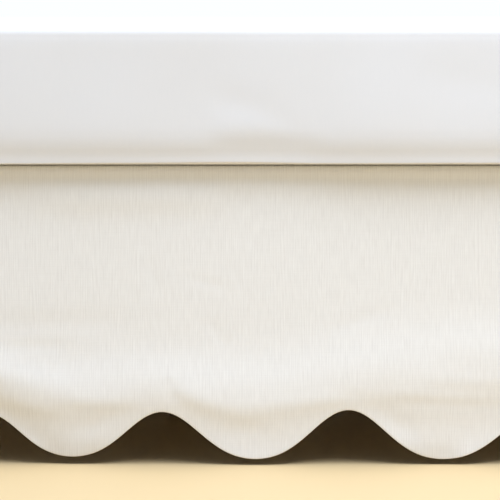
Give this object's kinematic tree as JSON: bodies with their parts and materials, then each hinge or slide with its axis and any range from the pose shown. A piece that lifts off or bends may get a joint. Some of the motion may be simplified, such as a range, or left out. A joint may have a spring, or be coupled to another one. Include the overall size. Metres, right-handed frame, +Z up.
{
  "type": "scalloped bed skirt on a single bed",
  "caption": "Flat bed skirt with scalloped drops hanging from the edges of a plain foundation on legs, held in place by a plain mattress.",
  "frame": {"origin": "on the floor, under the middle of the bed, at the foot of the middle leg", "axes": "+X from the head to the foot of the bed, +Y towards the left side of someone lying on it and facing the foot, +Z up"},
  "size_m": [1.921, 1.006, 0.5696],
  "materials": {
    "linen": "plain-woven ivory linen with a faint upright slub",
    "deck_cotton": "thin plain white cotton",
    "mattress_cover": "smooth white cotton percale",
    "foundation_ticking": "plain oatmeal ticking stretched over a boxed frame",
    "leg_wood": "satin stained beech"
  },
  "bodies": {
    "root": {"bed_foundation": "foundation_ticking", "leg_head_left": "leg_wood", "leg_head_right": "leg_wood", "leg_foot_left": "leg_wood", "leg_foot_right": "leg_wood", "leg_middle": "leg_wood", "skirt_deck": "deck_cotton", "skirt_drop_right": "linen", "skirt_drop_left": "linen", "skirt_drop_foot": "linen", "mattress": "mattress_cover"}
  },
  "joints": []
}
